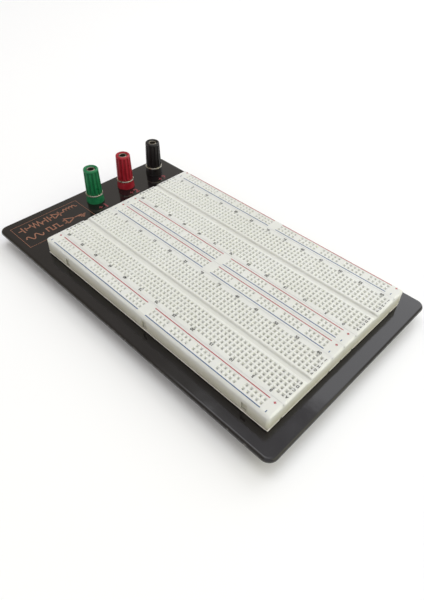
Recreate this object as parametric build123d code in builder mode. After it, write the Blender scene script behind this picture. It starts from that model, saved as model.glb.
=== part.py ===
from build123d import *
import os

# A solderless breadboard on a metal base plate, with three screw-down binding posts.
# Frame, in millimetres: X runs along the strips with the binding posts at the -X end, Y runs across
# the strips from the front (-Y) to the back (+Y), Z is up, and the origin is at the centre of the
# rectangle of the plate, on the surface that the rubber feet stand on.

# Driving dimensions: the contact grid
pitch = 2.54
columns = 63
rows_per_side = 5
hole_size = 1.15
inner_row = 1.5 * pitch

# Driving dimensions: the moulded strips and their adhesive pads
strip_length = 165.1
terminal_width = 35.2
bus_width = 9.6
strip_height = 8.5
skin_thickness = 2.0
groove_width = 3.05
groove_depth = 1.2
pad_thickness = 1.5
pad_margin = 0.3

# Driving dimensions: the base plate and its feet
plate_length = 216.0
plate_width = 130.0
plate_thickness = 2.0
plate_corner_radius = 5.0
plate_top_edge_radius = 1.5
plate_bottom_edge_radius = 0.3
plate_hole_radius = 4.0
foot_height = 8.5
foot_radius = 7.0
foot_tip_radius = 5.8
foot_edge_radius = 0.8
foot_inset_x = 36.0
foot_inset_y = 18.0

# Driving dimensions: the binding posts
post_spacing = 25.4
post_end_distance = 14.4
post_row_offset = 22.4
collar_radius = 5.85
collar_top_radius = 5.3
collar_height = 5.0
collar_edge_radius = 0.4
cap_foot_radius = 4.5
cap_foot_height = 1.0
cap_widest_radius = 5.25
cap_top_radius = 4.75
post_height = 23.2
barrel_radius = 3.0
jack_radius = 2.03
jack_depth = 12.9
running_gap = 0.05

# Heights that follow from the stack
plate_bottom_z = foot_height
plate_top_z = plate_bottom_z + plate_thickness
strip_bottom_z = plate_top_z + pad_thickness
strip_top_z = strip_bottom_z + strip_height

# Places that follow: the strips lie side by side, with equal plate margins on three of their sides
board_width = 4 * bus_width + 2 * terminal_width
board_margin = (plate_width - board_width) / 2
board_x = plate_length / 2 - board_margin - strip_length / 2
bus_inner_y = bus_width / 2
terminal_y = bus_width + terminal_width / 2
bus_outer_y = bus_width + terminal_width + bus_width / 2
terminal_rows = {"terminal_strip_1": -terminal_y, "terminal_strip_2": terminal_y}
bus_rows = {
    "bus_strip_1": -bus_outer_y,
    "bus_strip_2": -bus_inner_y,
    "bus_strip_3": bus_inner_y,
    "bus_strip_4": bus_outer_y,
}
post_x = -plate_length / 2 + post_end_distance
post_rows = {
    "green_post": post_row_offset - post_spacing,
    "red_post": post_row_offset,
    "black_post": post_row_offset + post_spacing,
}

# Contact positions along a power rail: five groups of five on each side of the middle
rail_groups = 5
rail_group_pitch = (rows_per_side + 1) * pitch
rail_first = 1.5 * pitch
rail_row_y = pitch / 2
rail_length = (rail_groups - 1) * rail_group_pitch + (rows_per_side - 1) * pitch
rail_centre = rail_first + rail_length / 2
side_centre_y = inner_row + (rows_per_side - 1) * pitch / 2

# Pockets in the strips and the spring clips that lie in them
pocket_width = 1.9
pocket_slack = 2.4
clip_slack = 2.0
clip_floor_gap = 0.2
clip_height = 5.2
clip_base = 0.9

# Dovetail tabs that lock one strip to the next
tab_spacing = 65.8
tab_shift = 3.1
tab_reach = 1.0
tab_root = 3.0
tab_tip = 4.0
tab_height = 4.9
tab_gap = 0.1

os.makedirs("parts", exist_ok=True)


def save(piece, node):
    """Label a finished piece and write it as its own STEP file."""
    piece.part.label = node
    export_step(piece.part, f"parts/{node}.step")


def centres(first, step, count):
    """Evenly spaced values."""
    return [first + step * index for index in range(count)]


# ---------------------------------------------------------------- base plate and feet
with BuildPart() as base_plate:
    with BuildSketch(Plane.XY.offset(plate_bottom_z)):
        RectangleRounded(plate_length, plate_width, plate_corner_radius)
        with Locations(*[(post_x, y) for y in post_rows.values()]):
            Circle(plate_hole_radius, mode=Mode.SUBTRACT)
    extrude(amount=plate_thickness)
    top_face = base_plate.faces().filter_by(Axis.Z).sort_by(Axis.Z)[-1]
    fillet(top_face.outer_wire().edges(), plate_top_edge_radius)
    bottom_face = base_plate.faces().filter_by(Axis.Z).sort_by(Axis.Z)[0]
    fillet(bottom_face.outer_wire().edges(), plate_bottom_edge_radius)
save(base_plate, "base_plate")

foot_x = plate_length / 2 - foot_inset_x
foot_y = plate_width / 2 - foot_inset_y
foot_places = {
    "foot_front_left": (-foot_x, -foot_y),
    "foot_front_right": (foot_x, -foot_y),
    "foot_back_left": (-foot_x, foot_y),
    "foot_back_right": (foot_x, foot_y),
}
for node, place in foot_places.items():
    with BuildPart() as foot:
        with BuildSketch():
            with Locations(place):
                Circle(foot_tip_radius)
        with BuildSketch(Plane.XY.offset(foot_height)):
            with Locations(place):
                Circle(foot_radius)
        loft()
        fillet(foot.edges().sort_by(Axis.Z)[0], foot_edge_radius)
    save(foot, node)

# ---------------------------------------------------------------- moulded strips
# Each strip is a body with pockets for its clips, under a thinner skin with the contact holes.
# Openings are lists of (x, y, length, width) about the strip's own centre.
terminal_xs = centres(-pitch * (columns - 1) / 2, pitch, columns)
terminal_hole_ys = [
    side * (inner_row + row * pitch) for side in (-1, 1) for row in range(rows_per_side)
]
terminal_holes = [(x, y, hole_size, hole_size) for x in terminal_xs for y in terminal_hole_ys]
side_length = (rows_per_side - 1) * pitch
terminal_pockets = [
    (x, side * side_centre_y, pocket_width, side_length + pocket_slack)
    for x in terminal_xs
    for side in (-1, 1)
]
rail_hole_xs = [
    side * (rail_first + group * rail_group_pitch + place * pitch)
    for side in (-1, 1)
    for group in range(rail_groups)
    for place in range(rows_per_side)
]
rail_rows = (-rail_row_y, rail_row_y)
bus_holes = [(x, y, hole_size, hole_size) for x in rail_hole_xs for y in rail_rows]
bus_pockets = [
    (side * rail_centre, y, rail_length + pocket_slack, pocket_width)
    for side in (-1, 1)
    for y in rail_rows
]


def perforated(low_y, high_y, openings):
    """Face as long as a strip, between two edges, with the openings that lie inside it."""
    middle = (low_y + high_y) / 2
    outline = Wire.make_rect(strip_length, high_y - low_y).moved(Location((0, middle, 0)))
    windows = [
        Wire.make_rect(length, width).moved(Location((x, y, 0)))
        for x, y, length, width in openings
        if low_y < y < high_y
    ]
    return Face(outline, windows)


def dovetail(gap):
    """Plan of a tab that widens away from the strip's side."""
    root, tip = tab_root / 2 + gap, tab_tip / 2 + gap
    return [(-root, 0), (root, 0), (tip, tab_reach + gap), (-tip, tab_reach + gap)]


tab_xs = centres(tab_shift - tab_spacing, tab_spacing, 3)
upward = (0, 0, 1)
strips = {node: (y, terminal_width) for node, y in terminal_rows.items()}
strips.update({node: (y, bus_width) for node, y in bus_rows.items()})
for node, (y, width) in strips.items():
    edge = width / 2
    low_layer = Location((board_x, y, strip_bottom_z))
    skin_layer = Location((board_x, y, strip_top_z - skin_thickness))
    if node in terminal_rows:
        body_face = perforated(-edge, edge, terminal_pockets)
        skin_faces = [
            perforated(-edge, -groove_width / 2, terminal_holes),
            perforated(groove_width / 2, edge, terminal_holes),
        ]
        groove_floors = [perforated(-groove_width / 2, groove_width / 2, [])]
    else:
        body_face = perforated(-edge, edge, bus_pockets)
        skin_faces = [perforated(-edge, edge, bus_holes)]
        groove_floors = []
    with BuildPart() as strip:
        extrude(body_face.moved(low_layer), strip_height - skin_thickness, dir=upward)
        # Tabs on the back side lock into the sockets in the front side of the next strip.
        with BuildSketch(Plane((board_x, y + edge, strip_bottom_z))):
            with Locations(*[(x, 0) for x in tab_xs]):
                Polygon(*dovetail(0), align=None)
        extrude(amount=tab_height)
        with BuildSketch(Plane((board_x, y - edge, strip_bottom_z))):
            with Locations(*[(x, 0) for x in tab_xs]):
                Polygon(*dovetail(tab_gap), align=None)
        extrude(amount=tab_height + tab_gap, mode=Mode.SUBTRACT)
        extrude([face.moved(skin_layer) for face in skin_faces], skin_thickness, dir=upward)
        for face in groove_floors:
            extrude(face.moved(skin_layer), skin_thickness - groove_depth, dir=upward)
    save(strip, node)

# ---------------------------------------------------------------- adhesive foam pads
pads = {f"foam_pad_{node}": (y, terminal_width) for node, y in terminal_rows.items()}
pads.update({f"foam_pad_{node}": (y, bus_width) for node, y in bus_rows.items()})
for node, (y, width) in pads.items():
    with BuildPart() as pad:
        with BuildSketch(Plane.XY.offset(plate_top_z)):
            with Locations((board_x, y)):
                Rectangle(strip_length - 2 * pad_margin, width - 2 * pad_margin)
        extrude(amount=pad_thickness)
    save(pad, node)

# ---------------------------------------------------------------- spring clips
# Section of a clip: a flat base and two walls that lean together to pinch a wire, then flare.
wall_outside = [(0.80, 0.0), (0.80, 2.6), (0.36, 4.2), (0.70, clip_height)]
wall_inside = [(0.45, clip_height), (0.10, 4.2), (0.55, 2.6), (0.55, 0.25)]
right_half = wall_outside + wall_inside
left_half = [(-x, z) for x, z in reversed(right_half)]
clip_z = strip_bottom_z + clip_floor_gap
clip_length = side_length + clip_slack

with BuildPart() as terminal_clip:
    with BuildSketch(Plane.XZ):
        with BuildLine():
            Polyline(*right_half, *left_half, close=True)
        make_face()
    extrude(amount=clip_length / 2, both=True)

for node, y in terminal_rows.items():
    for letters, side in (("a_e", -1), ("f_j", 1)):
        with BuildPart() as clips:
            with Locations((board_x, y + side * side_centre_y, clip_z)):
                with GridLocations(pitch, 1, columns, 1):
                    add(terminal_clip.part)
        save(clips, node.replace("strip", "clips") + "_" + letters)

with BuildPart() as rail_clip:
    with BuildSketch(Plane.YZ):
        with BuildLine():
            Polyline(*right_half, *left_half, close=True)
        make_face()
    extrude(amount=(rail_length + clip_slack) / 2, both=True)
    with BuildSketch(Plane.XZ):
        with Locations((0, (clip_base + clip_height) / 2)):
            with GridLocations(rail_group_pitch, 1, rail_groups - 1, 1):
                Rectangle(pitch, clip_height - clip_base)
    extrude(amount=pocket_width / 2, both=True, mode=Mode.SUBTRACT)

for node, y in bus_rows.items():
    for sign, side in (("minus", -1), ("plus", 1)):
        with BuildPart() as clips:
            with Locations((board_x, y + side * rail_row_y, clip_z)):
                with GridLocations(2 * rail_centre, 1, 2, 1):
                    add(rail_clip.part)
        save(clips, node.replace("strip", "clips") + "_" + sign)

# ---------------------------------------------------------------- binding posts
# Heights here are measured from the top of the plate.
stud_recess = 0.6
stud_top = post_height - stud_recess
stud_chamfer = 0.6
flange_height = 1.2
flange_across_flats = 8.2
shank_radius = 2.0
shank_clearance = 0.15
shank_bottom = -9.5
spigot_depth = 1.7
spigot_gap = 0.05
wire_hole_radius = 1.0
wire_hole_z = 6.9

washer_radius = 5.55
washer_thickness = 0.8
washer_recess = 0.4
washer_chamfer = 0.15
neck_radius = 3.5
lip_radius = 3.85
lip_gap = 0.15
lip_bottom = 0.1
insert_radius = 4.0
insert_length = 9.0

cap_bottom = collar_height + washer_thickness + running_gap
crown_height = 1.5
crown_radius = 0.9
dish_radius = 3.7
dish_depth = 0.5
flute_count = 12
flute_radius = 0.8
flute_depth = 0.65

lower_bush_radius = 5.5
lower_bush_thickness = 1.8
lower_bush_chamfer = 0.3
lock_washer_radius = 3.75
lock_washer_thickness = 0.5
lock_tooth_count = 8
lock_tooth_place = 2.5
lock_notch_depth = 0.9
lock_notch_width = 0.6
nut_across_flats = 7.0
nut_height = 2.2
nut_gap = 0.03
lug_radius = 4.0
lug_thickness = 0.5
lug_tail = 11.0
lug_tail_width = 4.0
lug_eye_radius = 0.9

lower_bush_bottom = -plate_thickness - lower_bush_thickness
lock_washer_bottom = lower_bush_bottom - lock_washer_thickness
upper_nut_bottom = lock_washer_bottom - nut_height
lug_bottom = upper_nut_bottom - lug_thickness
lower_nut_bottom = lug_bottom - nut_height

for post, post_y in post_rows.items():
    def level(height):
        """Sketch plane at a height above the plate, centred on this post."""
        return Plane((post_x, post_y, plate_top_z + height))

    # Insulating collar that stands on the plate, with a spigot in the plate's hole
    with BuildPart() as collar:
        with BuildSketch(level(0)):
            Circle(collar_radius)
        with BuildSketch(level(collar_height)):
            Circle(collar_top_radius)
        loft()
        fillet(collar.edges().sort_by(Axis.Z)[-1], collar_edge_radius)
        with BuildSketch(level(-spigot_depth)):
            Circle(plate_hole_radius - spigot_gap)
        extrude(amount=spigot_depth)
        with BuildSketch(level(collar_height - flange_height)):
            RegularPolygon(flange_across_flats / 2 + spigot_gap, 6, major_radius=False)
        extrude(amount=flange_height, mode=Mode.SUBTRACT)
        with BuildSketch(level(-spigot_depth)):
            Circle(shank_radius + shank_clearance)
        extrude(amount=spigot_depth + collar_height, mode=Mode.SUBTRACT)
    save(collar, f"{post}_collar")

    # Stud: a barrel with the plug's bore and a cross hole for wire, a hexagonal flange, a thin shank
    with BuildPart() as stud:
        with BuildSketch(level(shank_bottom)):
            Circle(shank_radius)
        extrude(amount=collar_height - flange_height - shank_bottom)
        with BuildSketch(level(collar_height - flange_height)):
            RegularPolygon(flange_across_flats / 2, 6, major_radius=False)
        extrude(amount=flange_height)
        with BuildSketch(level(collar_height)):
            Circle(barrel_radius)
        extrude(amount=stud_top - collar_height)
        chamfer(stud.edges().sort_by(Axis.Z)[0], stud_chamfer)
        chamfer(stud.edges().sort_by(Axis.Z)[-1], stud_chamfer)
        with BuildSketch(level(stud_top)):
            Circle(jack_radius)
        extrude(amount=-jack_depth, mode=Mode.SUBTRACT)
        with BuildSketch(Plane.XZ.offset(-post_y)):
            with Locations((post_x, plate_top_z + wire_hole_z)):
                Circle(wire_hole_radius)
        extrude(amount=2 * barrel_radius, both=True, mode=Mode.SUBTRACT)
    save(stud, f"{post}_stud")

    # Clamp washer that lifts with the cap; a recess under it takes the insert's lip
    with BuildPart() as washer:
        with BuildSketch(level(collar_height)):
            Circle(washer_radius)
            Circle(neck_radius + running_gap, mode=Mode.SUBTRACT)
        extrude(amount=washer_thickness)
        with BuildSketch(level(collar_height)):
            Circle(lip_radius + lip_gap)
        extrude(amount=washer_recess, mode=Mode.SUBTRACT)
        chamfer(washer.edges().group_by(Axis.Z)[-1].sort_by(SortBy.RADIUS)[-1], washer_chamfer)
    save(washer, f"{post}_washer")

    # Threaded insert pressed into the cap; its neck and lip carry the washer
    with BuildPart() as insert:
        with BuildSketch(level(cap_bottom)):
            Circle(insert_radius)
        extrude(amount=insert_length)
        with BuildSketch(level(collar_height + washer_recess - running_gap)):
            Circle(neck_radius)
        extrude(amount=cap_bottom - collar_height - washer_recess + running_gap)
        with BuildSketch(level(collar_height + lip_bottom)):
            Circle(lip_radius)
        extrude(amount=washer_recess - running_gap - lip_bottom)
        with BuildSketch(level(collar_height)):
            Circle(barrel_radius + running_gap)
        extrude(amount=post_height - collar_height, mode=Mode.SUBTRACT)
    save(insert, f"{post}_insert")

    # Cap: a tapered, fluted grip, drawn in at its foot, with a rounded rim around the dished top
    shoulder = cap_bottom + cap_foot_height
    taper = (cap_widest_radius - cap_top_radius) / (post_height - shoulder)
    flute_foot_radius = cap_widest_radius + taper * cap_foot_height
    crown_base = post_height - crown_height
    crown_base_radius = cap_top_radius + taper * crown_height
    with BuildPart() as cap:
        with BuildSketch(level(cap_bottom)):
            Circle(cap_foot_radius)
        with BuildSketch(level(shoulder)):
            Circle(cap_widest_radius)
        loft()
        with BuildSketch(level(shoulder)):
            Circle(cap_widest_radius)
        with BuildSketch(level(post_height)):
            Circle(cap_top_radius)
        loft()
        for turn in centres(0, 360 / flute_count, flute_count):
            outward = Vector(1, 0, 0).rotate(Axis.Z, turn)
            reach = flute_radius - flute_depth
            foot_point = Vector(post_x, post_y, plate_top_z + cap_bottom)
            head_point = Vector(post_x, post_y, plate_top_z + crown_base)
            start = foot_point + outward * (flute_foot_radius + reach)
            end = head_point + outward * (crown_base_radius + reach)
            with BuildSketch(Plane(origin=start, z_dir=end - start)):
                Circle(flute_radius)
            extrude(amount=(end - start).length, mode=Mode.SUBTRACT)
        fillet(cap.edges().sort_by(Axis.Z)[-1], crown_radius)
        with BuildSketch(level(post_height)):
            Circle(dish_radius)
        extrude(amount=-dish_depth, mode=Mode.SUBTRACT)
        with BuildSketch(level(cap_bottom)):
            Circle(insert_radius)
        extrude(amount=insert_length, mode=Mode.SUBTRACT)
        with BuildSketch(level(cap_bottom)):
            Circle(barrel_radius + running_gap)
        extrude(amount=post_height - cap_bottom, mode=Mode.SUBTRACT)
    save(cap, f"{post}_cap")

    # Under the plate: bush, lock washer, two nuts and the solder lug between them
    with BuildPart() as lower_bush:
        with BuildSketch(level(lower_bush_bottom)):
            Circle(lower_bush_radius)
            Circle(shank_radius + shank_clearance, mode=Mode.SUBTRACT)
        extrude(amount=lower_bush_thickness)
        chamfer(lower_bush.edges().group_by(Axis.Z)[0].sort_by(SortBy.RADIUS)[-1], lower_bush_chamfer)
    save(lower_bush, f"{post}_lower_bush")

    with BuildPart() as lock_washer:
        with BuildSketch(level(lock_washer_bottom)):
            Circle(lock_washer_radius)
            Circle(shank_radius + shank_clearance, mode=Mode.SUBTRACT)
            with PolarLocations(lock_tooth_place, lock_tooth_count):
                Rectangle(lock_notch_depth, lock_notch_width, mode=Mode.SUBTRACT)
        extrude(amount=lock_washer_thickness)
    save(lock_washer, f"{post}_lock_washer")

    with BuildPart() as nuts:
        for bottom in (upper_nut_bottom, lower_nut_bottom):
            with BuildSketch(level(bottom)):
                RegularPolygon(nut_across_flats / 2, 6, major_radius=False)
                Circle(shank_radius + nut_gap, mode=Mode.SUBTRACT)
            extrude(amount=nut_height)
    save(nuts, f"{post}_nuts")

    with BuildPart() as lug:
        with BuildSketch(level(lug_bottom)):
            Circle(lug_radius)
            with Locations((0, -lug_tail / 2)):
                Rectangle(lug_tail_width, lug_tail)
            with Locations((0, -lug_tail)):
                Circle(lug_tail_width / 2)
                Circle(lug_eye_radius, mode=Mode.SUBTRACT)
            Circle(shank_radius + shank_clearance, mode=Mode.SUBTRACT)
        extrude(amount=lug_thickness)
    save(lug, f"{post}_lug")
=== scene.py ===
import math
import bpy
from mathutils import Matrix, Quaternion, Vector, noise


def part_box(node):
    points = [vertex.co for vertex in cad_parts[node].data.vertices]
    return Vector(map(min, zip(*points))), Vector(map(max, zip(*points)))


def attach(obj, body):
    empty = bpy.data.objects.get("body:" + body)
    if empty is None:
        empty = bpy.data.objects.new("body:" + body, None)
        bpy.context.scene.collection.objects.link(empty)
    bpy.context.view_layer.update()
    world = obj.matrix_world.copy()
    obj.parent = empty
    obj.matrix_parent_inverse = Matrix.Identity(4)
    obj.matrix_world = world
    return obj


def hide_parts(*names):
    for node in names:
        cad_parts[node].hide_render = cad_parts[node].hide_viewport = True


# A solderless breadboard on a black enamelled plate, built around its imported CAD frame. All lengths
# are in metres, in the frame of the CAD: X along the strips with the binding posts at -X, Z up.

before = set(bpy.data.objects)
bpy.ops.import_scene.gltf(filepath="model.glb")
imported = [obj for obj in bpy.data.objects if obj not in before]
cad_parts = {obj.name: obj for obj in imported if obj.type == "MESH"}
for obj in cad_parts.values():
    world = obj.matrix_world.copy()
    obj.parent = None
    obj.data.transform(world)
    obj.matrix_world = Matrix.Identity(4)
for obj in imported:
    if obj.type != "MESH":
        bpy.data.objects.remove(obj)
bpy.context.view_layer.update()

MM = 0.001
PITCH = 2.54 * MM
COLUMNS = 63
ROWS = 5
CAP_FOOT_HEIGHT = 1.0 * MM
CAP_WIDEST_RADIUS = 5.25 * MM
CAP_TOP_RADIUS = 4.75 * MM
CROWN = 1.3 * MM
COLOURS = ("green", "red", "black")
TERMINALS = ("terminal_strip_1", "terminal_strip_2")
BUSES = ("bus_strip_1", "bus_strip_2", "bus_strip_3", "bus_strip_4")


# ---------------- mesh helpers
class Shell:
    """Collects faces that share their vertices, and makes one mesh object of them."""

    def __init__(self):
        self.places = {}
        self.points = []
        self.faces = []
        self.rounded = {}

    def vertex(self, point):
        key = tuple(round(value * 1e7) for value in point)
        if key not in self.places:
            self.places[key] = len(self.points)
            self.points.append(tuple(point))
        return self.places[key]

    def face(self, points):
        """Add a face, anticlockwise as seen from outside."""
        corners = []
        for point in points:
            index = self.vertex(point)
            if not corners or index != corners[-1]:
                corners.append(index)
        if corners[0] == corners[-1]:
            corners.pop()
        if len(corners) > 2:
            self.faces.append(corners)

    def round_line(self, points, weight=1.0):
        """Mark the edges between these points, in order, for the bevel."""
        indices = [self.vertex(point) for point in points]
        self.rounded.update({frozenset(pair): weight for pair in zip(indices, indices[1:])})

    def build(self, name, material, smooth_below=40):
        mesh = bpy.data.meshes.new(name)
        mesh.from_pydata(self.points, [], self.faces)
        mesh.validate()
        if self.rounded:
            weights = mesh.attributes.new("bevel_weight_edge", "FLOAT", "EDGE")
            for edge in mesh.edges:
                weights.data[edge.index].value = self.rounded.get(frozenset(edge.vertices), 0.0)
        return place(name, mesh, material, smooth_below)


def place(name, mesh, material, smooth_below=40):
    """Put a mesh in the scene as a named piece, smooth where its faces meet at a low angle."""
    mesh.polygons.foreach_set("use_smooth", [True] * len(mesh.polygons))
    mesh.set_sharp_from_angle(angle=math.radians(smooth_below))
    mesh.materials.append(material)
    piece = bpy.data.objects.new(name, mesh)
    bpy.context.scene.collection.objects.link(piece)
    return piece


def bevel(piece, width, segments=3, by_weight=False, angle=30):
    """Round a piece's edges with a modifier."""
    modifier = piece.modifiers.new("rounded edges", "BEVEL")
    modifier.width = width
    modifier.segments = segments
    modifier.limit_method = "WEIGHT" if by_weight else "ANGLE"
    modifier.angle_limit = math.radians(angle)
    modifier.use_clamp_overlap = True


def lathe(shell, outline, centre, segments, radius_at=None):
    """Turn a closed outline of (radius, height) points about a vertical axis through centre."""

    def ring_point(point, turn):
        angle = 2 * math.pi * turn / segments
        radius = radius_at(point, angle) if radius_at else point[0]
        x = centre[0] + radius * math.cos(angle)
        y = centre[1] + radius * math.sin(angle)
        return (x, y, centre[2] + point[1])

    rings = [[ring_point(point, turn) for point in outline] for turn in range(segments)]
    for turn in range(segments):
        here, there = rings[turn], rings[(turn + 1) % segments]
        for index in range(len(outline)):
            after = (index + 1) % len(outline)
            shell.face([here[index], there[index], there[after], here[after]])


def square(x, y, size, z):
    west, east, south, north = x - size / 2, x + size / 2, y - size / 2, y + size / 2
    return [(west, south, z), (east, south, z), (east, north, z), (west, north, z)]


def band(shell, upper, lower, outward):
    """Ring of quads between two loops of the same number of points."""
    count = len(upper)
    for index in range(count):
        after = (index + 1) % count
        corners = [lower[index], lower[after], upper[after], upper[index]]
        shell.face(corners if outward else corners[::-1])


def tube(shell, rings):
    """Closed skin over rings of equal size, each of them past or inside the last."""
    for lower, upper in zip(rings, rings[1:]):
        band(shell, upper, lower, True)
    shell.face(rings[0][::-1])
    shell.face(rings[-1])


def prism(shell, outline, low, high):
    """Closed upright prism over an anticlockwise outline."""
    tube(shell, [[(x, y, z) for x, y in outline] for z in (low, high)])


# ---------------- materials
class Finish:
    """A material on the Principled shader, with helpers for its patterns."""

    def __init__(self, name, colour, roughness, metallic=0.0):
        self.material = bpy.data.materials.new(name)
        self.material.use_nodes = True
        self.nodes = self.material.node_tree.nodes
        self.links = self.material.node_tree.links
        self.shader = self.nodes["Principled BSDF"]
        self.shader.inputs["Base Color"].default_value = (*colour, 1)
        self.shader.inputs["Roughness"].default_value = roughness
        self.shader.inputs["Metallic"].default_value = metallic
        self.place = self.nodes.new("ShaderNodeTexCoord").outputs["Object"]
        self.height = None

    def noise(self, scale, detail=3.0, stretch=None):
        texture = self.nodes.new("ShaderNodeTexNoise")
        texture.inputs["Scale"].default_value = scale
        texture.inputs["Detail"].default_value = detail
        place = self.place
        if stretch:
            mapping = self.nodes.new("ShaderNodeMapping")
            mapping.inputs["Scale"].default_value = stretch
            self.links.new(place, mapping.inputs["Vector"])
            place = mapping.outputs["Vector"]
        self.links.new(place, texture.inputs["Vector"])
        return texture.outputs["Fac"]

    def ramp(self, value, low, high, start=0.0, end=1.0):
        """Map a value from the span low..high to start..end, clamped."""
        node = self.nodes.new("ShaderNodeMapRange")
        node.inputs["From Min"].default_value = low
        node.inputs["From Max"].default_value = high
        node.inputs["To Min"].default_value = start
        node.inputs["To Max"].default_value = end
        self.links.new(value, node.inputs["Value"])
        return node.outputs["Result"]

    def blend(self, factor, first, second):
        """Colour between two others, either of which may be a socket."""
        node = self.nodes.new("ShaderNodeMix")
        node.data_type = "RGBA"
        self.links.new(factor, node.inputs[0])
        for socket, colour in ((node.inputs[6], first), (node.inputs[7], second)):
            if isinstance(colour, tuple):
                socket.default_value = (*colour, 1)
            else:
                self.links.new(colour, socket)
        return node.outputs[2]

    def math(self, operation, first, second=0.0):
        node = self.nodes.new("ShaderNodeMath")
        node.operation = operation
        for socket, value in zip(node.inputs, (first, second)):
            if isinstance(value, (int, float)):
                socket.default_value = value
            else:
                self.links.new(value, socket)
        return node.outputs[0]

    def axes(self):
        """Sockets of the X, Y and Z of a place on the piece."""
        split = self.nodes.new("ShaderNodeSeparateXYZ")
        self.links.new(self.place, split.inputs[0])
        return split.outputs

    def colour(self, socket):
        self.links.new(socket, self.shader.inputs["Base Color"])

    def roughness(self, socket):
        self.links.new(socket, self.shader.inputs["Roughness"])

    def bump(self, height, distance, strength=1.0):
        """Raise the surface by a pattern; each further call adds to the last."""
        node = self.nodes.new("ShaderNodeBump")
        node.inputs["Distance"].default_value = distance
        node.inputs["Strength"].default_value = strength
        self.links.new(height, node.inputs["Height"])
        if self.height:
            self.links.new(self.height, node.inputs["Normal"])
        self.height = node.outputs["Normal"]
        self.links.new(self.height, self.shader.inputs["Normal"])


def strip_finish():
    """Off-white moulded ABS with painted warm shade darkening its sides downwards, a satin grain and faint
    handling marks.
    """
    finish = Finish("strip_abs", (0.70, 0.705, 0.675), 0.42)
    cloud = finish.ramp(finish.noise(35), 0.35, 0.7)
    tone = finish.blend(cloud, (0.71, 0.715, 0.69), (0.685, 0.688, 0.655))
    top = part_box("terminal_strip_1")[1].z
    # Painted shade: the sides turn darker and warmer from just under the top edge down to 6 mm below it
    side_shade = finish.ramp(finish.axes()["Z"], top - 6 * MM, top - 0.8 * MM, 1.0, 0.0)
    tone = finish.blend(side_shade, tone, (0.60, 0.585, 0.485))
    grime = finish.ramp(finish.noise(420, 6), 0.62, 0.78, 0.0, 0.3)
    finish.colour(finish.blend(grime, tone, (0.57, 0.56, 0.50)))
    finish.roughness(finish.ramp(finish.noise(180, 5), 0.3, 0.7, 0.36, 0.5))
    finish.bump(finish.noise(6000, 2), 0.00002, 0.35)
    finish.bump(finish.noise(60, 2), 0.0002, 0.15)
    finish.shader.inputs["Subsurface Weight"].default_value = 0.8
    finish.shader.inputs["Subsurface Radius"].default_value = (1.0, 1.0, 0.92)
    finish.shader.inputs["Subsurface Scale"].default_value = 1.6 * MM
    return finish.material


def plate_finish(node):
    """Glossy black enamel: slight orange peel, fine dust, smudges, and paint worn thin at the rim."""
    finish = Finish("plate_enamel", (0.012, 0.011, 0.011), 0.14)
    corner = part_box(node)[1]
    axes = finish.axes()
    reach_x = finish.math("SUBTRACT", corner.x, finish.math("ABSOLUTE", axes["X"]))
    reach_y = finish.math("SUBTRACT", corner.y, finish.math("ABSOLUTE", axes["Y"]))
    rim = finish.ramp(finish.math("MINIMUM", reach_x, reach_y), 0.1 * MM, 0.5 * MM, 1.0, 0.0)
    worn = finish.math("MULTIPLY", rim, finish.ramp(finish.noise(420, 6), 0.52, 0.68))
    dust = finish.ramp(finish.noise(2600, 4), 0.66, 0.8, 0.0, 0.5)
    haze = finish.ramp(finish.noise(28, 5), 0.4, 0.75)
    tone = finish.blend(haze, (0.0066, 0.0049, 0.0054), (0.0098, 0.0076, 0.0083))
    tone = finish.blend(dust, tone, (0.05, 0.046, 0.042))
    finish.colour(finish.blend(worn, tone, (0.075, 0.07, 0.066)))
    smudge = finish.ramp(finish.noise(55, 6), 0.42, 0.72, 0.09, 0.2)
    finish.roughness(finish.math("ADD", smudge, finish.math("MULTIPLY", worn, 0.25)))
    finish.bump(finish.noise(700, 2), 0.00003, 0.35)
    finish.bump(finish.noise(90, 2), 0.0002, 0.35)
    finish.bump(finish.noise(160, 3, (1.0, 0.12, 1.0)), 0.00003, 0.3)
    return finish.material


def cap_finish(post, colour, light):
    """Satin moulded plastic, paler where it is handled, with painted shade darkening the cap's flutes."""
    finish = Finish(post + "_plastic", colour, 0.33)
    finish.shader.inputs["Specular IOR Level"].default_value = 0.35
    patch = finish.ramp(finish.noise(320, 5), 0.4, 0.75)
    tone = finish.blend(patch, colour, light)
    speck = finish.ramp(finish.noise(2400, 3), 0.68, 0.8, 0.0, 0.35)
    tone = finish.blend(speck, tone, tuple(min(1, value * 1.6 + 0.02) for value in light))

    # Painted shade lies where the surface is sunk below the cap's taper, between its foot and its crown
    low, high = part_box(post + "_post_cap")
    axes = finish.axes()
    across = finish.math("SUBTRACT", axes["X"], (low.x + high.x) / 2)
    along = finish.math("SUBTRACT", axes["Y"], (low.y + high.y) / 2)
    across_squared = finish.math("MULTIPLY", across, across)
    along_squared = finish.math("MULTIPLY", along, along)
    reach = finish.math("POWER", finish.math("ADD", across_squared, along_squared), 0.5)
    foot, crown = low.z + CAP_FOOT_HEIGHT, high.z - CROWN
    taper = finish.ramp(axes["Z"], foot, high.z, CAP_WIDEST_RADIUS, CAP_TOP_RADIUS)
    sunk = finish.ramp(finish.math("SUBTRACT", taper, reach), 0.1 * MM, 0.6 * MM, 0.0, 0.42)
    above = finish.ramp(axes["Z"], foot - 0.3 * MM, foot, 0.0, 1.0)
    below = finish.ramp(axes["Z"], crown - 0.4 * MM, crown + 0.2 * MM, 1.0, 0.0)
    bed = finish.math("MULTIPLY", sunk, finish.math("MULTIPLY", above, below))
    # Painted shade: the flute beds take a darker copy of the cap's colour
    finish.colour(finish.blend(bed, tone, tuple(value * 0.3 for value in colour)))
    finish.roughness(finish.ramp(finish.noise(500, 5), 0.3, 0.75, 0.26, 0.42))
    finish.bump(finish.noise(3500, 3), 0.00003, 0.4)
    return finish.material


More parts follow.
